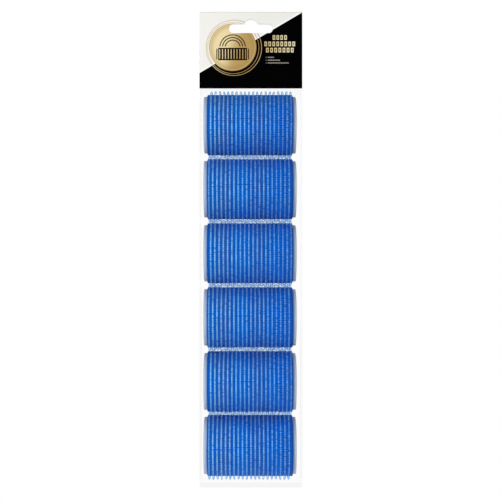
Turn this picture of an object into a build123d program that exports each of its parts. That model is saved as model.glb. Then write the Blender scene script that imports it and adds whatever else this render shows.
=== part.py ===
from build123d import *
import os
from math import acos, cos, pi, sin

# Hanging retail pack of self-gripping hair rollers: a folded header card with a
# hang slot, a clear film bag, and a column of rollers lying across the bag.
# Millimetres. X runs along the rollers, -Y is the front, +Z is up.
# The origin is the top of the hang slot, where a display peg bears.

# ---------------------------------------------------------------- driving sizes
PACK_W = 71.0            # width of the header card and of the bag's front

# header card
CARD_TOP = 5.15          # top fold above the bearing point of the slot
CARD_BOTTOM = -47.7
CARD_T = 0.4             # thickness of the folded board
CARD_OUT = 0.7           # outer face of each leaf from the mid-plane
CARD_IN = CARD_OUT - CARD_T

# hang slot
SLOT_W = 30.0
SLOT_TOP = -3.2          # straight part of the slot
SLOT_BOTTOM = -9.5
SLOT_CORNER = 2.6
BUMP_R = 5.0             # round rise in the middle; its top is the origin

# glue strips between the film and the card
GLUE_W = 66.0
GLUE_TOP = -19.0
GLUE_BOTTOM = -44.0

# rollers
ROLLERS = 6
FIRST_Z = -73.2          # centre of the top roller
ROLLER_PITCH = 44.25
ROLLER_X = -0.6          # the rollers sit a little to the left in the bag
CORE_OD = 39.0
CORE_WALL = 1.1
CORE_L = 63.0
CORE_LIP = 0.3           # eased edges of the core's two end rims
SLEEVE_OD = 41.6
SLEEVE_L = 58.6

# hook rows on the sleeve
HOOK_ROWS = 20
HOOK_PITCH = 2.86
HOOK_R = 23.1            # tips of the hooks
HOOK_T = 0.36            # thickness of one row
ROW_SHIFT = HOOK_PITCH / 4   # neighbours face opposite ways, so their rows interleave

# film bag
FILM_T = 0.1
BAG_Y = 23.5             # outer face of the front and back panels
GUSSET_DEPTH = 1.6       # inward crease of each side
ROOF_TOP = -48.0         # where the film opens out below the card
SEAL_TOP = -320.0        # where the two webs meet again below the last roller
BAG_BOTTOM = -323.65
TONGUE_TOP = 4.0         # film between the leaves of the card
FACETS = 5               # flats of the film round the top and bottom rollers

roller_z = [FIRST_Z - ROLLER_PITCH * i for i in range(ROLLERS)]
LAST_Z = roller_z[-1]

os.makedirs("parts", exist_ok=True)


# ---------------------------------------------------------------- header card
with BuildSketch(Plane.XZ.offset(-5)) as slot_shape:
    with Locations((0, (SLOT_TOP + SLOT_BOTTOM) / 2)):
        RectangleRounded(SLOT_W, SLOT_TOP - SLOT_BOTTOM, SLOT_CORNER)
    with Locations((0, -BUMP_R)):
        Circle(BUMP_R)
    with Locations((0, SLOT_BOTTOM - BUMP_R)):
        Rectangle(4 * BUMP_R, 2 * BUMP_R, mode=Mode.SUBTRACT)

with BuildPart() as header_card:
    with BuildSketch(Plane.YZ) as card_section:
        fold_z = CARD_TOP - CARD_OUT
        leaf_h = fold_z - CARD_BOTTOM
        with Locations((0, (fold_z + CARD_BOTTOM) / 2)):
            Rectangle(2 * CARD_OUT, leaf_h)
        with Locations((0, fold_z)):
            Circle(CARD_OUT)
        with Locations((0, (fold_z + CARD_BOTTOM) / 2)):
            Rectangle(2 * CARD_IN, leaf_h, mode=Mode.SUBTRACT)
        with Locations((0, fold_z)):
            Circle(CARD_IN, mode=Mode.SUBTRACT)
    extrude(amount=PACK_W / 2, both=True)
    extrude(slot_shape.sketch, amount=10, mode=Mode.SUBTRACT)
header_card.part.label = "header_card"
export_step(header_card.part, "parts/header_card.step")

for side, name in ((-1, "glue_strip_front"), (1, "glue_strip_back")):
    with BuildPart() as glue_strip:
        with BuildSketch(Plane.XZ.offset(-side * (FILM_T + CARD_IN) / 2)):
            with Locations((0, (GLUE_TOP + GLUE_BOTTOM) / 2)):
                RectangleRounded(GLUE_W, GLUE_TOP - GLUE_BOTTOM, 1.5)
        extrude(amount=(CARD_IN - FILM_T) / 2, both=True)
    glue_strip.part.label = name
    export_step(glue_strip.part, f"parts/{name}.step")


# ---------------------------------------------------------------- film bag
# Each web is an open tray. The webs are sealed face to face between the leaves
# of the card and along the bottom, and meet in the crease of each side gusset.
def bag_outline(side, r):
    """Corners of one web's section: the flats touch a circle of radius r about the end rollers."""
    points = []
    for centre, apex, up in ((FIRST_Z, ROOF_TOP, 1), (LAST_Z, SEAL_TOP, -1)):
        first = acos(BAG_Y / abs(apex - centre))
        step = (pi / 2 - first) / FACETS
        arc = [(0.0, centre + up * r / cos(first))]
        for i in range(FACETS):
            a = first + (i + 0.5) * step
            arc.append((side * r / cos(step / 2) * sin(a), centre + up * r / cos(step / 2) * cos(a)))
        points += arc if up == 1 else arc[::-1]
    return points


for side, name in ((-1, "film_front"), (1, "film_back")):
    half = PACK_W / 2
    with BuildPart() as cavity:
        with BuildSketch(Plane.YZ):
            with BuildLine():
                Polyline(*bag_outline(side, BAG_Y - FILM_T), close=True)
            make_face()
        extrude(amount=half, both=True)
        with BuildSketch(Plane.XY.offset(BAG_BOTTOM)):
            with BuildLine():
                Polyline(
                    (-(half - GUSSET_DEPTH - FILM_T), 0),
                    (-(half - FILM_T), side * BAG_Y),
                    (half - FILM_T, side * BAG_Y),
                    (half - GUSSET_DEPTH - FILM_T, 0),
                    close=True,
                )
            make_face()
        extrude(amount=CARD_TOP - BAG_BOTTOM, mode=Mode.INTERSECT)
    with BuildPart() as film_web:
        with BuildSketch(Plane.YZ):
            with BuildLine():
                Polyline(*bag_outline(side, BAG_Y), close=True)
            make_face()
        extrude(amount=half, both=True)
        with BuildSketch(Plane.XY.offset(BAG_BOTTOM)):
            with BuildLine():
                Polyline(
                    (-(half - GUSSET_DEPTH), 0),
                    (-half, side * BAG_Y),
                    (half, side * BAG_Y),
                    (half - GUSSET_DEPTH, 0),
                    close=True,
                )
            make_face()
        extrude(amount=CARD_TOP - BAG_BOTTOM, mode=Mode.INTERSECT)
        add(cavity.part, mode=Mode.SUBTRACT)
        # sealed tongue between the leaves of the card, and the bottom seal
        for low, high in ((ROOF_TOP - 0.03, TONGUE_TOP), (BAG_BOTTOM, SEAL_TOP + 0.03)):
            with BuildSketch(Plane.XZ.offset(-side * FILM_T / 2)):
                with Locations((0, (low + high) / 2)):
                    Rectangle(PACK_W, high - low)
            extrude(amount=FILM_T / 2, both=True)
        extrude(slot_shape.sketch, amount=10, mode=Mode.SUBTRACT)
    film_web.part.label = name
    export_step(film_web.part, f"parts/{name}.step")


# ---------------------------------------------------------------- rollers
# Each roller is a moulded core, a woven sleeve round it, and rows of hooks
# standing out of the sleeve. The core's wall is drawn closed, because the sleeve
# hides its air windows. A roller lies free in the bag and can turn.
for number, z in enumerate(roller_z, start=1):
    turned = 1 if number % 2 else -1      # every second roller lies the other way round

    with BuildPart() as core:
        with BuildSketch(Plane.YZ.offset(ROLLER_X - CORE_L / 2)):
            with Locations((0, z)):
                Circle(CORE_OD / 2)
                Circle(CORE_OD / 2 - CORE_WALL, mode=Mode.SUBTRACT)
        extrude(amount=CORE_L)
        chamfer(core.edges().filter_by(GeomType.CIRCLE), length=CORE_LIP)
    core.part.label = f"roller_{number}_core"
    export_step(core.part, f"parts/roller_{number}_core.step")

    with BuildPart() as sleeve:
        with BuildSketch(Plane.YZ.offset(ROLLER_X - SLEEVE_L / 2)):
            with Locations((0, z)):
                Circle(SLEEVE_OD / 2)
                Circle(CORE_OD / 2, mode=Mode.SUBTRACT)
        extrude(amount=SLEEVE_L)
    sleeve.part.label = f"roller_{number}_sleeve"
    export_step(sleeve.part, f"parts/roller_{number}_sleeve.step")

    with BuildPart() as hooks:
        for row in range(HOOK_ROWS):
            x = ROLLER_X + (row - (HOOK_ROWS - 1) / 2) * HOOK_PITCH + turned * ROW_SHIFT
            with BuildSketch(Plane.YZ.offset(x - HOOK_T / 2)):
                with Locations((0, z)):
                    Circle(HOOK_R)
                    Circle(SLEEVE_OD / 2, mode=Mode.SUBTRACT)
            extrude(amount=HOOK_T)
    hooks.part.label = f"roller_{number}_hooks"
    export_step(hooks.part, f"parts/roller_{number}_hooks.step")

print("rollers at z", [round(v, 2) for v in roller_z])
print("gap between a hook tip and the next sleeve", round(ROLLER_PITCH - HOOK_R - SLEEVE_OD / 2, 3))
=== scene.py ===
import math

import bpy
import numpy as np
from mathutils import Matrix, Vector


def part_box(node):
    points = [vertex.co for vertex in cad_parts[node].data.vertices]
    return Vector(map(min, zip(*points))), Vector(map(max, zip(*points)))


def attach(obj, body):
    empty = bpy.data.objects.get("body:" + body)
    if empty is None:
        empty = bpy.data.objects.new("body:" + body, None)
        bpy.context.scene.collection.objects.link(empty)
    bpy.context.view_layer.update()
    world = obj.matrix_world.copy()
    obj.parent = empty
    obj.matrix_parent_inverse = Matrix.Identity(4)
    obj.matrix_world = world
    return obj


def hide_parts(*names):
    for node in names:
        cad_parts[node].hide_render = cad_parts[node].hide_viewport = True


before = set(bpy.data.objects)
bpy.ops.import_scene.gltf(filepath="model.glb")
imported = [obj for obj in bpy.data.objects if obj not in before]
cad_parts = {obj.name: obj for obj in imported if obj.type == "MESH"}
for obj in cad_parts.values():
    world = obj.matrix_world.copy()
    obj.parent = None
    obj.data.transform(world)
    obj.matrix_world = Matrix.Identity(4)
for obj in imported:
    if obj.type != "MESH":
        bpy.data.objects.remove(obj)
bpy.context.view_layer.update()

MM = 0.001
ROLLERS = 6
scene = bpy.context.scene


# ------------------------------------------------------------------ helpers
def srgb(r, g, b, a=1.0):
    def lin(c):
        c /= 255.0
        return c / 12.92 if c <= 0.04045 else ((c + 0.055) / 1.055) ** 2.4
    return (lin(r), lin(g), lin(b), a)


def new_mesh(name, verts, faces, smooth=True):
    """verts (n,3) in metres; faces (m,4) or (m,3), or a list of such arrays."""
    groups = faces if isinstance(faces, list) else [faces]
    me = bpy.data.meshes.new(name)
    verts = np.asarray(verts, dtype=np.float32)
    me.vertices.add(len(verts))
    me.vertices.foreach_set("co", verts.ravel())
    loops = np.concatenate([np.asarray(g, dtype=np.int32).ravel() for g in groups])
    counts = np.concatenate([np.full(len(g), np.asarray(g).shape[1], dtype=np.int32) for g in groups])
    starts = np.concatenate([[0], np.cumsum(counts)[:-1]]).astype(np.int32)
    me.loops.add(len(loops))
    me.loops.foreach_set("vertex_index", loops)
    me.polygons.add(len(counts))
    me.polygons.foreach_set("loop_start", starts)
    me.polygons.foreach_set("use_smooth", np.full(len(counts), smooth))
    me.update(calc_edges=True)
    me.validate()
    ob = bpy.data.objects.new(name, me)
    scene.collection.objects.link(ob)
    return ob


def point_value(ob, name, values):
    a = ob.data.attributes.new(name, "FLOAT", "POINT")
    a.data.foreach_set("value", np.asarray(values, dtype=np.float32))


def uv_from_points(ob, name, uv):
    layer = ob.data.uv_layers.new(name=name)
    idx = np.empty(len(ob.data.loops), dtype=np.int32)
    ob.data.loops.foreach_get("vertex_index", idx)
    layer.data.foreach_set("uv", np.asarray(uv, dtype=np.float32)[idx].ravel())


class Nodes:
    """Small helper that writes a node tree."""

    def __init__(self, name):
        self.mat = bpy.data.materials.new(name)
        self.mat.use_nodes = True
        self.nt = self.mat.node_tree
        self.nt.nodes.clear()
        self.out = self.nt.nodes.new("ShaderNodeOutputMaterial")

    def add(self, kind, **props):
        n = self.nt.nodes.new("ShaderNode" + kind)
        for k, v in props.items():
            setattr(n, k, v)
        return n

    def link(self, a, b):
        self.nt.links.new(a, b)

    def put(self, socket, value):
        if isinstance(value, bpy.types.NodeSocket):
            self.link(value, socket)
        else:
            socket.default_value = value

    def math(self, op, a, b=0.0, c=0.0, clamp=False):
        n = self.add("Math", operation=op, use_clamp=clamp)
        for s, v in zip(n.inputs, (a, b, c)):
            self.put(s, v)
        return n.outputs[0]

    def span(self, x, lo, hi, soft=0.0):
        """1 where lo < x < hi, with edges soft wide."""
        if soft <= 0:
            return self.math("MULTIPLY", self.math("GREATER_THAN", x, lo), self.math("LESS_THAN", x, hi))
        return self.math("MULTIPLY", self.ramp(x, lo - soft, lo + soft), self.ramp(x, hi + soft, hi - soft))

    def ramp(self, x, lo, hi, to_lo=0.0, to_hi=1.0, smooth=True):
        n = self.add("MapRange", interpolation_type="SMOOTHSTEP" if smooth else "LINEAR", clamp=True)
        for s, v in zip((0, 1, 2, 3, 4), (x, lo, hi, to_lo, to_hi)):
            self.put(n.inputs[s], v)
        return n.outputs[0]

    def mix(self, fac, a, b, blend="MIX"):
        n = self.add("Mix", data_type="RGBA", blend_type=blend)
        self.put(n.inputs[0], fac)
        self.put(n.inputs[6], a)
        self.put(n.inputs[7], b)
        return n.outputs[2]

    def noise(self, vec, scale, detail=2.0, rough=0.5, dims="3D"):
        n = self.add("TexNoise", noise_dimensions=dims)
        self.put(n.inputs["Vector"], vec)
        n.inputs["Scale"].default_value = scale
        n.inputs["Detail"].default_value = detail
        n.inputs["Roughness"].default_value = rough
        return n.outputs[0]

    def xyz(self, vec):
        n = self.add("SeparateXYZ")
        self.put(n.inputs[0], vec)
        return n.outputs

    def vec(self, x, y, z=0.0):
        n = self.add("CombineXYZ")
        for s, v in zip(n.inputs, (x, y, z)):
            self.put(s, v)
        return n.outputs[0]

    def bump(self, height, strength, distance):
        n = self.add("Bump")
        n.inputs["Strength"].default_value = strength
        n.inputs["Distance"].default_value = distance
        self.put(n.inputs["Height"], height)
        return n.outputs[0]

    def principled(self, color, rough=0.5, **values):
        n = self.add("BsdfPrincipled")
        self.put(n.inputs["Base Color"], color)
        self.put(n.inputs["Roughness"], rough)
        for k, v in values.items():
            self.put(n.inputs[k.replace("_", " ")], v)
        return n

    def finish(self, shader):
        self.link(shader, self.out.inputs["Surface"])
        return self.mat


def object_coords(m):
    return m.add("TexCoord").outputs["Object"]


def give(ob, *mats):
    ob.data.materials.clear()
    for m in mats:
        ob.data.materials.append(m)


# ------------------------------------------------------------------ materials
def weave_material():
    """Blue nylon ground: warp and weft cross in a plain weave, with painted shade darkening the holes between them and
    a painted highlight on the yarn tops.
    """
    m = Nodes("blue_weave")
    uv = m.add("UVMap", uv_map="weave").outputs[0]       # u along the roller in rows, v round it in weft picks
    u, v, _ = m.xyz(uv)
    lift = m.add("Attribute", attribute_name="lift").outputs["Fac"]      # 0 in a hole, 1 on top of a yarn
    band = m.add("Attribute", attribute_name="band").outputs["Fac"]      # 1 on the plain selvedge at each end
    rib = m.math("MULTIPLY_ADD", m.math("COSINE", m.math("MULTIPLY", u, 2 * math.pi)), 0.5, 0.5)
    strand = m.math("COSINE", m.math("MULTIPLY", m.math("ADD", m.math("MULTIPLY", u, 7.0), m.math("MULTIPLY", v, 2.0)), 2 * math.pi))
    grain = m.noise(m.vec(m.math("MULTIPLY", u, 2.2), m.math("MULTIPLY", v, 0.9)), 3.0, 3.0, 0.6)
    blotch = m.noise(m.vec(u, m.math("MULTIPLY", v, 0.35)), 0.55, 2.0, 0.5)
    # painted light from the left: the pile is painted paler towards the left end of the roller and deeper blue towards
    # the right
    along = m.ramp(m.xyz(object_coords(m))[0], -0.030, 0.030, 0.0, 1.0, smooth=False)
    row = m.math("FLOOR", m.math("ADD", u, 0.5))
    tufts = m.noise(m.vec(m.math("MULTIPLY", row, 3.71), m.math("MULTIPLY", v, 1.05)), 1.0, 2.0, 0.65)
    # pale pile along each hook row: partly the lighter monofilament woven along the row, partly a painted highlight
    # standing in for the hook tops glinting
    pile_and_highlight = m.mix(along, srgb(150, 220, 255), srgb(62, 150, 255))
    pile_and_highlight = m.mix(m.ramp(tufts, 0.52, 0.36, 0.0, 0.85), pile_and_highlight, srgb(30, 110, 220))
    pile_and_highlight = m.mix(m.ramp(tufts, 0.52, 0.68, 0.0, 0.60), pile_and_highlight, srgb(160, 224, 255))
    # painted shade in the holes between the yarns and a painted highlight on their tops, both set by the yarn's lift
    c = m.mix(m.ramp(lift, 0.30, 0.75), srgb(6, 50, 136), srgb(20, 109, 219))
    c = m.mix(m.ramp(lift, 0.70, 1.0, 0.0, 0.40), c, srgb(40, 130, 232))
    c = m.mix(m.ramp(rib, 0.46, 0.92, 0.0, 0.76), c, pile_and_highlight)
    c = m.mix(m.ramp(strand, 0.2, 1.0, 0.0, 0.12), c, srgb(0, 46, 130))
    c = m.mix(m.ramp(grain, 0.35, 0.7, 0.0, 0.20), c, srgb(30, 108, 206))
    c = m.mix(m.ramp(blotch, 0.4, 0.7, 0.0, 0.14), c, srgb(0, 58, 146))
    c = m.mix(m.math("MULTIPLY", band, 0.85), c, srgb(12, 76, 166))
    h = m.math("ADD", m.math("MULTIPLY", strand, 0.5), m.math("MULTIPLY", grain, 0.5))
    shine = m.math("MULTIPLY", m.ramp(rib, 0.46, 0.92), m.ramp(tufts, 0.34, 0.62, 0.75, 0.95))
    shine = m.math("MULTIPLY", shine, m.math("SUBTRACT", 1.0, band))
    s = m.principled(c, m.ramp(grain, 0.3, 0.7, 0.44, 0.56), Normal=m.bump(h, 0.5, 0.00008),
                     Metallic=shine, Specular_IOR_Level=0.10, Specular_Tint=srgb(140, 176, 235))
    return m.finish(s.outputs[0])


def hook_material():
    """Clear blue nylon filament, clear blue down the sides: a painted highlight makes it pale where it turns over at
    the top, it is deeper blue low down (partly its own colour, partly painted shade), and the clear sides carry a
    painted glow.
    """
    m = Nodes("blue_hooks")
    crown = m.add("Attribute", attribute_name="crown").outputs["Fac"]      # 1 on top of the bend
    tall = m.add("Attribute", attribute_name="tall").outputs["Fac"]        # 0 at the ground, 1 at the bend
    tone = m.add("Attribute", attribute_name="tone").outputs["Fac"]
    # deeper blue low down, partly the clear filament's own colour and partly painted shade; paler up the bend
    c = m.mix(m.ramp(tall, 0.1, 1.0, smooth=False), srgb(14, 96, 214), srgb(166, 211, 250))
    # painted highlight: the outward-facing crown of each bend is painted pale
    c = m.mix(m.ramp(crown, 0.05, 0.85), c, srgb(160, 220, 255))
    c = m.mix(m.math("MULTIPLY", tone, 0.12), c, srgb(40, 116, 216))
    glow = m.mix(m.ramp(crown, 0.0, 0.5), c, srgb(0, 0, 0))         # painted glow: the clear sides are given light of their own, standing in for light scattered inside the filament
    s = m.principled(c, 0.32, Specular_IOR_Level=0.04, Specular_Tint=srgb(120, 190, 255), Emission_Color=glow, Emission_Strength=0.30)
    clear = m.add("BsdfTransparent")
    clear.inputs[0].default_value = (0.925, 0.968, 0.997, 1.0)
    mix = m.add("MixShader")
    m.link(m.ramp(crown, 0.05, 0.7, 0.035, 0.62), mix.inputs[0])
    m.link(clear.outputs[0], mix.inputs[1])
    m.link(s.outputs[0], mix.inputs[2])
    return m.finish(mix.outputs[0])


def core_material():
    """Milky moulded polypropylene, with painted blue light from the sleeve next to it on the end rim."""
    m = Nodes("core_plastic")
    co = object_coords(m)
    out = m.add("Attribute", attribute_name="reach").outputs["Fac"]        # 0 under the sleeve, 1 at the end rim
    swirl = m.noise(co, 90.0, 2.0, 0.5)
    grain = m.noise(co, 1800.0, 2.0, 0.6)
    # painted light from the sleeve: the rim is painted bluer next to the blue sleeve, fading to plain milky grey at its
    # end
    c = m.mix(m.ramp(out, 0.0, 0.85), srgb(122, 162, 214), srgb(180, 189, 204))
    c = m.mix(m.ramp(swirl, 0.35, 0.7, 0.0, 0.12), c, srgb(204, 212, 224))
    h = m.math("ADD", grain, m.math("MULTIPLY", swirl, 0.4))
    s = m.principled(c, m.ramp(swirl, 0.3, 0.7, 0.34, 0.46), Normal=m.bump(h, 0.25, 0.00006), Specular_IOR_Level=0.25)
    return m.finish(s.outputs[0])


def film_material():
    """Thin clear polypropylene film: nearly invisible, with a faint gloss at a slant."""
    m = Nodes("clear_film")
    haze = m.add("Attribute", attribute_name="haze").outputs["Fac"]
    co = object_coords(m)
    n = m.noise(co, 55.0, 3.0, 0.55)
    bump = m.bump(n, 0.10, 0.0004)
    clear = m.add("BsdfTransparent")
    clear.inputs[0].default_value = (0.985, 0.985, 0.986, 1.0)
    skin = m.principled((0.95, 0.96, 0.97, 1.0), 0.10, Normal=bump, Metallic=1.0)
    fres = m.add("Fresnel")
    fres.inputs["IOR"].default_value = 1.30
    m.link(bump, fres.inputs["Normal"])
    fac = m.math("POWER", m.math("MAXIMUM", m.math("SUBTRACT", fres.outputs[0], 0.019), 0.0), 1.5)
    fac = m.math("MINIMUM", m.math("MULTIPLY", fac, 0.8), 0.016)
    fac = m.math("ADD", fac, m.math("MULTIPLY", haze, 0.35), clamp=True)
    mix = m.add("MixShader")
    m.link(fac, mix.inputs[0])
    m.link(clear.outputs[0], mix.inputs[1])
    m.link(skin.outputs[0], mix.inputs[2])
    return m.finish(mix.outputs[0])


def glue_material():
    m = Nodes("hot_melt_glue")
    n = m.noise(object_coords(m), 400.0, 2.0, 0.5)
    c = m.mix(n, srgb(226, 212, 170), srgb(240, 232, 205))
    s = m.principled(c, 0.35, Normal=m.bump(n, 0.4, 0.0001))
    return m.finish(s.outputs[0])


def card_material():
    """Coated board: off-white and black halves across a diagonal, a gold foil disc, and
    plain bars where a label would be. Front print on -Y, a plain back print on +Y."""
    m = Nodes("printed_card")
    co = object_coords(m)
    x, y, z = m.xyz(co)
    xm = m.math("MULTIPLY", x, 1000.0)
    zm = m.math("MULTIPLY", z, 1000.0)
    fibre = m.noise(co, 2600.0, 3.0, 0.6)
    mottle = m.noise(co, 120.0, 2.0, 0.5)
    white = m.mix(mottle, srgb(239, 238, 232), srgb(237, 236, 230))
    black = srgb(1, 1, 2)

    # diagonal: black below the line from the left edge up to the top right corner
    slope = (4.8 + 37.1) / 71.0
    above = m.math("SUBTRACT", zm, m.math("MULTIPLY_ADD", xm, slope, -37.1 + 35.5 * slope))   # mm above the line
    dark = m.ramp(above, 0.10, -0.10)
    c = m.mix(dark, white, black)
    glow = m.math("MULTIPLY", m.ramp(above, -0.05, 0.25), m.ramp(above, 1.6, 0.6))
    c = m.mix(glow, c, srgb(255, 255, 253))

    def radius(cx, cz):
        dx = m.math("SUBTRACT", xm, cx)
        dz = m.math("SUBTRACT", zm, cz)
        return m.math("SQRT", m.math("ADD", m.math("MULTIPLY", dx, dx), m.math("MULTIPLY", dz, dz))), dx, dz

    # gold foil disc with two fine rings round it
    r, dx, dz = radius(-12.6, -19.3)
    # painted reflection: the foil is painted in a light-to-dark sweep across the disc, palest towards the left
    foil_painted_sheen = m.math("MULTIPLY_ADD", m.math("ADD", m.math("MULTIPLY", dx, 0.8), m.math("MULTIPLY", dz, -0.25)), 1 / 34.0, 0.5)
    tone = m.math("SINE", m.math("MULTIPLY", foil_painted_sheen, 6.4))
    gold = m.mix(m.ramp(tone, -1.0, 1.0), srgb(198, 164, 102), srgb(255, 236, 184))
    gold = m.mix(m.ramp(r, 11.5, 16.0, 0.0, 0.45), gold, srgb(168, 130, 62))
    brushed = m.noise(m.vec(m.math("MULTIPLY", x, 0.15), y, z), 5200.0, 2.0, 0.5)
    gold = m.mix(m.math("MULTIPLY", brushed, 0.18), gold, srgb(150, 118, 58))
    disc = m.ramp(r, 16.5, 16.3)
    ring = None
    for cx, cz, rr, half in ((-12.2, -19.8, 17.75, 0.16), (-11.75, -19.7, 19.15, 0.22)):
        q = radius(cx, cz)[0]
        one = m.span(q, rr - half, rr + half, 0.07)
        ring = one if ring is None else m.math("MAXIMUM", ring, one)
    rim = m.span(r, 15.3, 15.6, 0.08)
    foil = m.math("MAXIMUM", disc, ring)
    c = m.mix(foil, c, gold)
    c = m.mix(m.math("MULTIPLY", rim, 0.55), c, srgb(244, 228, 178))
    front = m.ramp(y, 0.0001, -0.0001)
    side = m.math("LESS_THAN", m.math("ABSOLUTE", y), 0.00068)

    # generic roller pictogram on the disc: a barrel with rows, between two end rims
    def box(cx, cz, w, h, soft=0.08):
        return m.math("MULTIPLY", m.span(xm, cx - w / 2, cx + w / 2, soft), m.span(zm, cz - h / 2, cz + h / 2, soft))

    icon = None
    for cx, cz, w, h in ((-12.6, -24.0, 20.0, 8.6),):
        body = box(cx, cz, w, h)
        rows = m.math("FRACT", m.math("MULTIPLY", m.math("SUBTRACT", xm, cx), 1 / 2.0))
        slit = m.math("MULTIPLY", m.span(rows, 0.34, 0.66, 0.08), box(cx, cz, w - 1.6, h - 1.8))
        body = m.math("MULTIPLY", body, m.math("SUBTRACT", 1.0, slit))
        ends = m.math("MAXIMUM", box(cx - w / 2 - 0.9, cz, 0.7, h - 1.2), box(cx + w / 2 + 0.9, cz, 0.7, h - 1.2))
        icon = m.math("MAXIMUM", body, ends)
    # a lock of hair above it: three plain arcs
    for rr in (5.2, 7.0, 8.8):
        q, qx, qz = radius(-12.6, -19.6)
        arc = m.math("MULTIPLY", m.span(q, rr - 0.36, rr + 0.36, 0.1), m.ramp(qz, 0.6, 1.0))
        icon = m.math("MAXIMUM", icon, arc)
    c = m.mix(m.math("MULTIPLY", icon, disc), c, srgb(12, 10, 8))

    # greeked label: rows of plain blocks, no lettering
    def blocks(x0, x1, z0, z1, n, fill=0.72):
        t = m.math("MULTIPLY", m.math("SUBTRACT", xm, x0), n / (x1 - x0))
        cell = m.span(m.math("FRACT", t), (1 - fill) / 2, (1 + fill) / 2, 0.06)
        return m.math("MULTIPLY", cell, m.math("MULTIPLY", m.span(xm, x0, x1), m.span(zm, z1, z0, 0.06)))

    heads = None
    for x0, x1, z0, z1, n in ((14.6, 25.3, -11.0, -14.2, 4), (8.9, 31.0, -15.4, -18.6, 8), (10.0, 30.0, -19.7, -22.9, 7)):
        b = blocks(x0, x1, z0, z1, n, 0.66)
        b = m.math("MULTIPLY", b, m.math("SUBTRACT", 1.0, blocks(x0, x1, z0 - 0.75, z1 + 0.75, n, 0.22)))
        heads = b if heads is None else m.math("MAXIMUM", heads, b)
    label = m.mix(m.ramp(xm, 8.0, 32.0), srgb(206, 184, 132), srgb(238, 224, 186))
    c = m.mix(heads, c, label)
    small = None
    for x0, x1, z0, n in ((11.6, 16.0, -25.9, 4), (11.6, 20.2, -27.9, 8), (11.6, 26.2, -29.8, 13)):
        b = m.math("MAXIMUM", blocks(x0, x1, z0, z0 - 0.75, n, 0.8), box(10.5, z0 - 0.4, 0.5, 0.5))
        small = b if small is None else m.math("MAXIMUM", small, b)
    c = m.mix(m.math("MULTIPLY", small, 0.62), c, srgb(186, 182, 172))

    # back print: white with a black foot and plain bars
    back = m.mix(m.ramp(zm, -37.0, -37.2), white, black)
    lines = None
    for i in range(6):
        b = blocks(-24.0, 24.0 - 7 * (i % 3), -15.0 - 2.6 * i, -16.0 - 2.6 * i, 17 - 2 * (i % 3), 0.85)
        lines = b if lines is None else m.math("MAXIMUM", lines, b)
    back = m.mix(m.math("MULTIPLY", lines, 0.8), back, srgb(60, 60, 60))
    c = m.mix(front, back, c)
    # cut edges and inside faces show the plain board
    board = m.mix(fibre, srgb(222, 218, 208), srgb(238, 235, 228))
    c = m.mix(side, c, board)
    on_front = m.math("MULTIPLY", foil, m.math("MULTIPLY", front, m.math("SUBTRACT", 1.0, side)))
    inked = m.math("MULTIPLY", icon, disc)
    metal = m.math("MULTIPLY", m.math("MULTIPLY", on_front, m.math("SUBTRACT", 1.0, inked)), 0.22)
    rough = m.math("SUBTRACT", m.ramp(fibre, 0.3, 0.7, 0.46, 0.56), m.math("MULTIPLY", on_front, 0.18))
    h = m.math("ADD", m.math("MULTIPLY", fibre, 0.35), m.math("MULTIPLY", on_front, 0.8))
    s = m.principled(c, rough, Metallic=metal, Normal=m.bump(h, 0.15, 0.00005), Specular_IOR_Level=0.012)
    return m.finish(s.outputs[0])


WEAVE = weave_material()
HOOK = hook_material()
CORE = core_material()
FILM = film_material()
GLUE = glue_material()
CARD = card_material()


# ------------------------------------------------------------------ camera
FRAME_W = 345.75 * MM                       # what the picture's width covers in the pack's mid-plane
DIST = 0.75
cam_data = bpy.data.cameras.new("camera")
cam = bpy.data.objects.new("camera", cam_data)
scene.collection.objects.link(cam)
cam.location = (-0.0006, -DIST, -0.1594)
cam.rotation_euler = (math.pi / 2, 0, 0)
cam_data.sensor_width = 36.0
cam_data.lens = 36.0 * DIST / FRAME_W
cam_data.clip_start = 0.01
cam_data.clip_end = 50
scene.camera = cam


# ------------------------------------------------------------------ rollers
HOOK_ROWS = 20
PITCH = 2.86          # mm between hook rows
HALF = 29.3           # half the sleeve's length
PICKS = 84            # weft yarns round the sleeve
centres = []
for n in range(1, ROLLERS + 1):
    low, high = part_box(f"roller_{n}_core")
    centres.append(((low[2] + high[2]) / 2) / MM)
    ROLLER_X = ((low[0] + high[0]) / 2) / MM


def row_x(k, turned):
    return (k - (HOOK_ROWS - 1) / 2) * PITCH + turned * PITCH / 4


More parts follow.
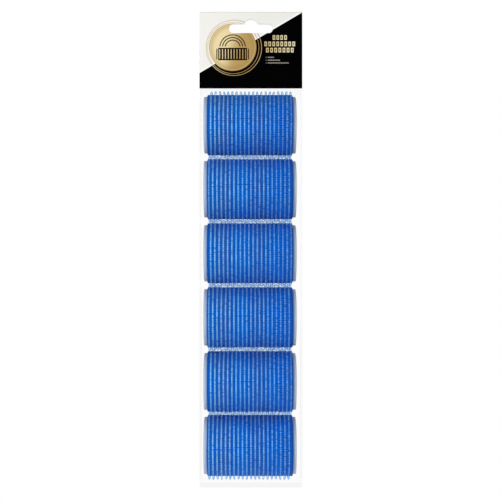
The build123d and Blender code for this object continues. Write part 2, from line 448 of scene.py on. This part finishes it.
def make_sleeve(n):
    rng = np.random.default_rng(100 + n)
    turned = 1 if n % 2 else -1
    cz = centres[n - 1]
    NX, NT = 172, PICKS * 5
    xs = np.linspace(-HALF, HALF, NX)
    th = np.linspace(0, 2 * math.pi, NT, endpoint=False)
    X, T = np.meshgrid(xs, th, indexing="ij")
    u = (X - row_x(0, turned)) / PITCH
    pick_no = T / (2 * math.pi) * PICKS
    rib = 0.5 + 0.5 * np.cos(2 * np.pi * u)
    # plain weave: two warp ends to a hook row, going over and under the picks in turn
    over = np.cos(np.pi * 2 * u) * np.cos(np.pi * pick_no)
    warp = np.abs(np.cos(np.pi * 2 * u)) ** 0.6 * (0.5 + 0.5 * over)
    weft = np.abs(np.cos(np.pi * pick_no)) ** 0.6 * (0.5 - 0.5 * over)
    lift = np.maximum(warp, weft)
    R = 20.58 + 0.12 * rib ** 1.3 + 0.26 * lift
    # slow unevenness of the band, and the welded lap along the back
    for _ in range(5):
        a, b, c = rng.normal(0, 1, 3)
        R += 0.02 * np.cos(T * rng.integers(2, 9) + a * 3 + X * 0.1 * b) * (0.5 + 0.5 * c / 3)
    seam = np.exp(-(((T - math.pi * 0.5 + np.pi) % (2 * np.pi) - np.pi) / 0.035) ** 2)
    R -= 0.22 * seam
    # the cut ends are pressed down onto the core
    edge = HALF - np.abs(X)
    press = np.clip(1 - edge / 0.45, 0, 1)
    band = np.clip(1 - (edge - 1.1) / 0.5, 0, 1)
    R = R * (1 - 0.7 * band) + 20.80 * 0.7 * band
    R = R * (1 - press ** 2.5) + 20.1 * press ** 2.5
    R = np.clip(R, 19.6, 20.95)
    fray = 0.10 * np.sin(th * PICKS + rng.uniform(0, 6)) + 0.07 * rng.normal(0, 1, NT)
    Xo = X + np.sign(X) * (fray[None, :] * np.clip(1 - edge / 0.7, 0, 1)) - np.sign(X) * 0.12 * np.clip(1 - edge / 0.7, 0, 1)
    outer = np.stack([ROLLER_X + Xo, R * np.sin(T), cz + R * np.cos(T)], -1).reshape(-1, 3)
    # inner side, seen through the core's windows
    NI = 24
    xi = np.linspace(-HALF, HALF, NI)
    XI, TI = np.meshgrid(xi, th, indexing="ij")
    XI = XI.copy()
    XI[0] = Xo[0]
    XI[-1] = Xo[-1]
    RI = np.full_like(XI, 19.52)
    inner = np.stack([ROLLER_X + XI, RI * np.sin(TI), cz + RI * np.cos(TI)], -1).reshape(-1, 3)
    verts = np.concatenate([outer, inner]) * MM

    def grid(nx, off, flipped):
        i, j = np.meshgrid(np.arange(nx - 1), np.arange(NT), indexing="ij")
        a = off + i * NT + j
        b = off + i * NT + (j + 1) % NT
        c = off + (i + 1) * NT + (j + 1) % NT
        d = off + (i + 1) * NT + j
        q = np.stack([a, b, c, d] if flipped else [a, d, c, b], -1).reshape(-1, 4)
        return q

    off = NX * NT
    f = [grid(NX, 0, False), grid(NI, off, True)]
    j = np.arange(NT)
    jn = (j + 1) % NT
    f.append(np.stack([j, jn, off + jn, off + j], -1))
    lo, li = (NX - 1) * NT, off + (NI - 1) * NT
    f.append(np.stack([lo + j, li + j, li + jn, lo + jn], -1))
    ob = new_mesh(f"roller_{n}_woven_sleeve", verts, f)
    uu = np.concatenate([u.ravel(), ((XI - row_x(0, turned)) / PITCH).ravel()])
    vv = np.concatenate([pick_no.ravel(), (TI / (2 * math.pi) * PICKS).ravel()])
    # the map runs on over the join without a jump: put it on loops
    layer = ob.data.uv_layers.new(name="weave")
    idx = np.empty(len(ob.data.loops), dtype=np.int32)
    ob.data.loops.foreach_get("vertex_index", idx)
    uv = np.stack([uu[idx], vv[idx]], -1)
    poly = np.empty(len(ob.data.polygons), dtype=np.int32)
    ob.data.polygons.foreach_get("loop_start", poly)
    tot = np.empty(len(ob.data.polygons), dtype=np.int32)
    ob.data.polygons.foreach_get("loop_total", tot)
    which = np.repeat(np.arange(len(poly)), tot)
    top = np.maximum.reduceat(uv[:, 1], poly)
    full = PICKS
    wrap = (top[which] - uv[:, 1]) > full / 2
    uv[wrap, 1] += full
    layer.data.foreach_set("uv", uv.astype(np.float32).ravel())
    # lift also sets the painted shade in the weave's holes and the painted highlight on the yarn tops
    point_value(ob, "lift", np.concatenate([lift.ravel(), np.full(NI * NT, 0.55)]))
    point_value(ob, "band", np.concatenate([band.ravel(), np.zeros(NI * NT)]))
    give(ob, WEAVE)
    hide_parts(f"roller_{n}_sleeve")
    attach(ob, f"roller_{n}")
    return ob


SHAPES = {
    # (axial, height above the ground) in mm: a hook cut open, one bent lower, an uncut loop, a straight one
    "hook": [(-0.50, -0.40), (-0.60, 0.55), (-0.58, 1.35), (-0.36, 2.02), (0.02, 2.32), (0.44, 2.24), (0.70, 1.82), (0.66, 1.36)],
    "low": [(-0.56, -0.40), (-0.54, 0.55), (-0.34, 1.30), (-0.02, 1.86), (0.36, 2.14), (0.70, 2.06), (0.90, 1.70), (0.86, 1.36)],
    "arch": [(-0.76, -0.40), (-0.66, 0.70), (-0.50, 1.60), (-0.20, 2.24), (0.18, 2.26), (0.48, 1.62), (0.66, 0.90), (0.74, 0.20)],
    "open": [(-0.30, -0.40), (-0.34, 0.60), (-0.30, 1.30), (-0.12, 1.88), (0.22, 2.26), (0.60, 2.34), (0.86, 2.16), (0.94, 1.88)],
}
ROW_SHAPES = ["arch", "open", "open", "low", "arch", "hook", "hook", "low", "arch", "arch",
              "hook", "arch", "low", "open", "hook", "low", "open", "arch", "hook", "arch"]
ROW_SIDES = [1, 1, -1, -1, 1, 1, 1, -1, 1, -1, 1, -1, 1, -1, 1, 1, -1, 1, 1, -1]


def make_hooks(n):
    rng = np.random.default_rng(500 + n)
    turned = 1 if n % 2 else -1
    cz = centres[n - 1]
    AROUND, S = 150, 4
    paths, tones = [], []
    for k in range(HOOK_ROWS):
        kk = k if turned == 1 else HOOK_ROWS - 1 - k
        base = np.array(SHAPES[ROW_SHAPES[kk]])
        base[:, 0] -= 0.75 * base[base[:, 1] > 1.9, 0].mean()
        side = ROW_SIDES[kk] * turned
        th = (np.arange(AROUND) + 0.5 * (k % 2)) * 2 * math.pi / AROUND
        th = th + rng.normal(0, 0.12, AROUND) * 2 * math.pi / AROUND
        grow = 1 + rng.normal(0, 0.014, AROUND)
        lean = rng.normal(0, 0.035, AROUND)
        spread = 1 + rng.normal(0, 0.035, AROUND)
        tilt = rng.normal(0, 0.012, AROUND)
        wob = 0.05 * np.sin(th * 3 + k) + (0.20 * np.sin(th * 7 + 2.0) if kk == 7 else 0)
        keep = rng.random(AROUND) > (0.10 if kk == 7 else 0.015)
        for j in np.nonzero(keep)[0]:
            a = base[:, 0] * spread[j] * side + lean[j] * np.clip(base[:, 1], 0, 3) / 2.3 + wob[j]
            h = np.clip(base[:, 1] * grow[j], -0.4, 2.46)
            a = np.clip(a, -1.02, 1.02)
            r = 20.80 + h
            t = th[j] + tilt[j] * np.clip(h, 0, 3)
            x = ROLLER_X + row_x(k, turned) + a
            paths.append(np.stack([x, r * np.sin(t), cz + r * np.cos(t)], -1))
            tones.append(rng.random())
    P = np.array(paths)                       # (K, M, 3)
    K, M, _ = P.shape
    tan = np.gradient(P, axis=1)
    tan /= np.linalg.norm(tan, axis=2, keepdims=True)
    radial = P.copy()
    radial[..., 0] = 0
    radial[..., 2] -= cz
    radial /= np.linalg.norm(radial, axis=2, keepdims=True)
    around = np.cross(np.array([1.0, 0, 0]), radial)
    n1 = around - (around * tan).sum(-1, keepdims=True) * tan
    n1 /= np.linalg.norm(n1, axis=2, keepdims=True)
    n2 = np.cross(tan, n1)
    girth = np.interp(np.linspace(0, 1, M), [0, 0.2, 0.6, 0.9, 1.0], [0.14, 0.12, 0.16, 0.15, 0.10])
    ang = np.arange(S) * 2 * math.pi / S
    ring = (np.cos(ang)[None, None, :, None] * n1[:, :, None, :] + np.sin(ang)[None, None, :, None] * n2[:, :, None, :])
    V = P[:, :, None, :] + ring * girth[None, :, None, None]
    out = (ring * radial[:, :, None, :]).sum(-1)          # how far each point faces outwards
    rr = np.sqrt(V[..., 1] ** 2 + (V[..., 2] - cz) ** 2)
    # crown marks the outward-facing tops of the bends, where the material paints a highlight
    crown = np.clip(1.1 * out, 0, 1) * np.clip((rr - 21.9) / 0.7, 0, 1)
    tall = np.clip((rr - 20.8) / 1.6, 0, 1)
    V = V.reshape(-1, 3)
    base_i = (np.arange(K) * M * S)[:, None, None]
    i = np.arange(M - 1)[None, :, None]
    s = np.arange(S)[None, None, :]
    a = base_i + i * S + s
    b = base_i + i * S + (s + 1) % S
    q = np.stack([a, b, b + S, a + S], -1).reshape(-1, 4)
    start = (np.arange(K) * M * S)[:, None] + np.arange(S)[::-1][None, :]
    end = (np.arange(K) * M * S)[:, None] + (M - 1) * S + np.arange(S)[None, :]
    ob = new_mesh(f"roller_{n}_hook_rows", V * MM, [q, start, end])
    point_value(ob, "crown", crown.reshape(-1))
    point_value(ob, "tall", tall.reshape(-1))
    point_value(ob, "tone", np.repeat(np.array(tones), M * S))
    give(ob, HOOK)
    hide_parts(f"roller_{n}_hooks")
    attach(ob, f"roller_{n}")
    return ob


def lattice():
    """The moulded core: end rings and a grid of bars with air windows, as polygons on (length, angle) lines."""
    windows, rows = 12, 5
    pitch_x, half_x, corner = 9.9, 3.75, 1.1
    step = 2 * math.pi / windows
    half_t, corner_t = 3.7 / 19.0, 1.1 / 19.0
    xs, kind = [-31.5, -31.32, -31.05, -29.3, -27.0], []
    for r in range(rows):
        c = (r - (rows - 1) / 2) * pitch_x
        xs += [c - half_x, c - half_x + corner, c + half_x - corner, c + half_x]
    xs += [27.0, 29.3, 31.05, 31.32, 31.5]
    ts = []
    for w in range(windows):
        c = (w + 0.5) * step
        ts += [c - half_t, c - half_t + corner_t, c, c + half_t - corner_t, c + half_t, c + step / 2]
    xs, ts = np.array(xs), np.array(ts)
    nx, nt = len(xs), len(ts)

    def cell(i, j):
        """'solid', 'open', or which corner of the cell stays."""
        if i < 5 or i >= nx - 6:
            return "solid"
        a, b = (i - 5) % 4, j % 6
        if a == 3 or b in (4, 5):
            return "solid"
        if a == 1 or b in (1, 2):
            return "open"
        return ("lo" if a == 0 else "hi") + ("lo" if b == 0 else "hi")

    polys = []
    for i in range(nx - 1):
        for j in range(nt):
            j2 = (j + 1) % nt
            p00, p10, p11, p01 = (i, j), (i + 1, j), (i + 1, j2), (i, j2)
            state = cell(i, j)
            if state == "solid":
                polys.append([p00, p10, p11, p01])
            elif state == "lolo":
                polys.append([p00, p10, p01])
            elif state == "hilo":
                polys.append([p10, p11, p00])
            elif state == "hihi":
                polys.append([p11, p01, p10])
            elif state == "lohi":
                polys.append([p01, p00, p11])
    return xs, ts, polys


def make_core(n):
    xs, ts, polys = lattice()
    nx, nt = len(xs), len(ts)
    cz = centres[n - 1]
    ease = np.interp(31.5 - np.abs(xs), [0, 0.18, 0.45], [0.26, 0.07, 0.0])
    X, T = np.meshgrid(xs, ts, indexing="ij")
    E = np.repeat(ease[:, None], nt, 1)
    out = np.stack([ROLLER_X + X, (19.48 - E) * np.sin(T), cz + (19.48 - E) * np.cos(T)], -1).reshape(-1, 3)
    inn = np.stack([ROLLER_X + X, (18.40 + E) * np.sin(T), cz + (18.40 + E) * np.cos(T)], -1).reshape(-1, 3)
    N = nx * nt
    idx = [[i * nt + j for i, j in p] for p in polys]
    edges = {}
    for p in idx:
        for a, b in zip(p, p[1:] + p[:1]):
            edges[(a, b)] = True
    walls = [[b, a, a + N, b + N] for a, b in edges if (b, a) not in edges]
    quads = [p[::-1] for p in idx if len(p) == 4] + [[v + N for v in p] for p in idx if len(p) == 4] + [w[::-1] for w in walls]
    tris = [p[::-1] for p in idx if len(p) == 3] + [[v + N for v in p] for p in idx if len(p) == 3]
    used = np.unique(np.concatenate([np.array(quads).ravel(), np.array(tris).ravel()]))
    new = np.full(2 * N, -1)
    new[used] = np.arange(len(used))
    verts = np.concatenate([out, inn])[used]
    ob = new_mesh(f"roller_{n}_lattice_core", verts * MM, [new[np.array(quads)], new[np.array(tris)]])
    ob.data.set_sharp_from_angle(angle=math.radians(38))
    point_value(ob, "reach", np.clip((np.abs(verts[:, 0] - ROLLER_X) - 28.6) / 2.9, 0, 1))
    give(ob, CORE)
    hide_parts(f"roller_{n}_core")
    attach(ob, f"roller_{n}")
    return ob


for n in range(1, ROLLERS + 1):
    make_core(n)
    make_sleeve(n)
    make_hooks(n)


# ------------------------------------------------------------------ film bag
Y_REACH = 23.44
FIRST, LAST = centres[0], centres[-1]
ROOF, SEAL, FOOT = -48.0, -320.0, -323.6


def depth(z):
    """How far the film stands from the mid-plane at height z, in mm."""
    for c, apex in ((FIRST, ROOF), (LAST, SEAL)):
        up = 1 if apex > c else -1
        h = (z - c) * up
        if h <= 0:
            continue
        L = abs(apex - c)
        th = math.acos(23.46 / L)
        zt = 23.46 * math.cos(th)
        if h <= zt:
            return math.sqrt(max(23.46 ** 2 - h * h, 0))
        if h >= L:
            return 0.05
        return max(0.05, 23.46 * math.sin(th) * (L - h) / (L - zt))
    return 23.46


def make_film(side, name):
    rng = np.random.default_rng(9 if side < 0 else 10)
    zs = list(np.linspace(-12.6, ROOF, 10)[:-1])
    z = ROOF
    zs += list(ROOF - np.concatenate([np.linspace(0, 3, 7), np.linspace(3.6, 25.2, 34)]))
    zs += list(np.linspace(FIRST - 1.2, LAST + 1.2, 240))
    zs += list(SEAL + np.concatenate([np.linspace(25.5, 3.6, 34), np.linspace(3, 0, 7)]))
    zs += list(np.linspace(SEAL - 0.35, FOOT, 9))
    zs = np.array(zs)
    # one web from crease to crease: half side, corner, front, corner, half side
    prof = [(-33.9, 0.0), (-34.4, 0.07), (-35.1, 0.2), (-35.45, 0.36), (-35.35, 0.55), (-35.05, 0.75), (-34.75, 0.90), (-34.35, 0.975), (-33.6, 1.0)]
    xs = np.array([p[0] for p in prof] + list(np.linspace(-32.0, 32.0, 41)) + [-p[0] for p in prof[::-1]])
    ds = np.array([p[1] for p in prof] + [1.0] * 41 + [p[1] for p in prof[::-1]])
    Z, J = np.meshgrid(zs, np.arange(len(xs)), indexing="ij")
    X = xs[J.astype(int)]
    D = ds[J.astype(int)]
    reach = np.array([depth(v) for v in zs])[:, None]
    flat = np.clip(1 - reach / 6.0, 0, 1)
    X = X * (1 - flat) + np.sign(xs)[None, :] * np.abs(xs)[None, :] * flat
    # where the webs lie flat together they reach the full width
    wide = np.interp(np.arange(len(xs)), [0, len(xs) - 1], [-35.45, 35.45])[None, :]
    shut = np.clip(1 - (reach - 0.05) / 2.0, 0, 1)
    X = X * (1 - shut) + wide * shut
    Y = D * reach
    # the film dips a little between rollers and is never quite even
    dip = np.zeros_like(Z)
    for i in range(ROLLERS - 1):
        mid = (centres[i] + centres[i + 1]) / 2
        dip += np.exp(-((Z - mid) / 8.0) ** 2) * (0.9 + 0.25 * rng.normal())
    for _ in range(10):
        k1, k2, ph = rng.normal(0, 0.16), rng.normal(0, 0.10), rng.uniform(0, 6.28)
        dip += 0.05 * (1 + np.sin(k1 * X + k2 * Z + ph)) * np.clip(reach / 23.4, 0, 1)
    dip *= np.clip((D - 0.6) / 0.4, 0, 1)
    near = np.min(np.abs(Z[..., None] - np.array(centres)[None, None, :]), -1)
    room = 23.46 - np.sqrt(np.clip(23.30 ** 2 - np.clip(near, 0, 23.3) ** 2, 0, None))
    Y = Y - np.minimum(dip, np.clip(room, 0, 3.0)) * (reach > 20)
    # the bottom seal is crimped
    crimp = (Z < SEAL - 0.2) * 0.03 * np.sin((Z - SEAL) * 2 * np.pi / 0.9)
    Y = np.maximum(Y, 0.03) + 0.0 * crimp
    verts = np.stack([X, side * (Y + crimp * 0.5), Z], -1).reshape(-1, 3) * MM
    nz, nx = Z.shape
    i, j = np.meshgrid(np.arange(nz - 1), np.arange(nx - 1), indexing="ij")
    a = i * nx + j
    q = np.stack([a, a + 1, a + nx + 1, a + nx] if side > 0 else [a, a + nx, a + nx + 1, a + 1], -1).reshape(-1, 4)
    ob = new_mesh(name, verts, q)
    haze = np.zeros_like(Z)
    haze += (Z < SEAL) * (0.10 + 0.05 * (np.sin((Z - SEAL) * 2 * np.pi / 0.9) > 0))
    haze += 0.03 * np.exp(-((Z - SEAL) / 0.5) ** 2)
    point_value(ob, "haze", haze.reshape(-1))
    give(ob, FILM)
    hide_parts("film_front" if side < 0 else "film_back")
    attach(ob, "pack")
    return ob


make_film(-1, "bag_film_front")
make_film(1, "bag_film_back")


# ------------------------------------------------------------------ carried-over nodes
for node, mat in (("header_card", CARD), ("glue_strip_front", GLUE), ("glue_strip_back", GLUE)):
    ob = bpy.data.objects[node]
    for slot_ in ob.material_slots:
        slot_.material = mat


# ------------------------------------------------------------------ stage and light
FLOOR_Z = -0.385
floor_m = Nodes("floor")
fn = floor_m.noise(object_coords(floor_m), 6.0, 2.0, 0.5)
floor_m.finish(floor_m.principled(floor_m.mix(fn, srgb(244, 244, 244), srgb(248, 248, 248)), 0.95, Specular_IOR_Level=0.0,
                                  Emission_Color=(1, 1, 1, 1), Emission_Strength=0.12).outputs[0])
ang = np.linspace(0, 2 * math.pi, 96, endpoint=False)
rings = [0.05, 0.12, 0.19, 0.21]
fv = [[[0, 0, FLOOR_Z]]] + [np.stack([r * np.cos(ang), r * np.sin(ang), np.full(96, FLOOR_Z)], -1) for r in rings]
fv = np.concatenate(fv)
k = np.arange(96)
k1 = (k + 1) % 96
ff = [np.stack([np.zeros(96, int), 1 + k, 1 + k1], -1)]
for r in range(len(rings) - 1):
    ff.append(np.stack([1 + r * 96 + k, 1 + (r + 1) * 96 + k, 1 + (r + 1) * 96 + k1, 1 + r * 96 + k1], -1))
floor = new_mesh("floor", fv, ff, smooth=False)
give(floor, floor_m.mat)

world = bpy.data.worlds.new("world")
scene.world = world
world.use_nodes = True
wt = world.node_tree
wt.nodes.clear()
wo = wt.nodes.new("ShaderNodeOutputWorld")
bg = wt.nodes.new("ShaderNodeBackground")
seen = wt.nodes.new("ShaderNodeBackground")
mixw = wt.nodes.new("ShaderNodeMixShader")
lp = wt.nodes.new("ShaderNodeLightPath")
bg.inputs[0].default_value = (1, 1, 1, 1)
bg.inputs[1].default_value = 0.29
seen.inputs[0].default_value = (1, 1, 1, 1)
seen.inputs[1].default_value = 1.0
wt.links.new(lp.outputs["Is Camera Ray"], mixw.inputs[0])
wt.links.new(bg.outputs[0], mixw.inputs[1])
wt.links.new(seen.outputs[0], mixw.inputs[2])
wt.links.new(mixw.outputs[0], wo.inputs[0])


def area(name, loc, target, size, power, color=(1, 1, 1)):
    d = bpy.data.lights.new(name, "AREA")
    d.shape = "RECTANGLE"
    d.size, d.size_y = size
    d.energy = power
    d.color = color
    o = bpy.data.objects.new(name, d)
    scene.collection.objects.link(o)
    o.location = loc
    o.rotation_euler = (Vector(target) - Vector(loc)).to_track_quat("-Z", "Y").to_euler()
    o.visible_camera = False
    return o


area("key", (-0.36, -0.46, -0.15), (0, 0, -0.17), (0.20, 0.90), 3.15)
area("top", (-0.20, -0.45, 0.75), (0, 0, -0.15), (0.8, 0.5), 1.4)
area("fill", (0.65, -0.60, -0.20), (0, 0, -0.17), (0.5, 0.8), 1.75)
area("back", (0.45, 0.80, 0.10), (0, 0, -0.17), (0.6, 0.8), 4.6)

scene.view_settings.view_transform = "Standard"
scene.view_settings.look = "None"
scene.view_settings.exposure = 0.0
scene.view_settings.gamma = 1.0
scene.cycles.transparent_max_bounces = 72
scene.cycles.max_bounces = 8
scene.cycles.seed = 1

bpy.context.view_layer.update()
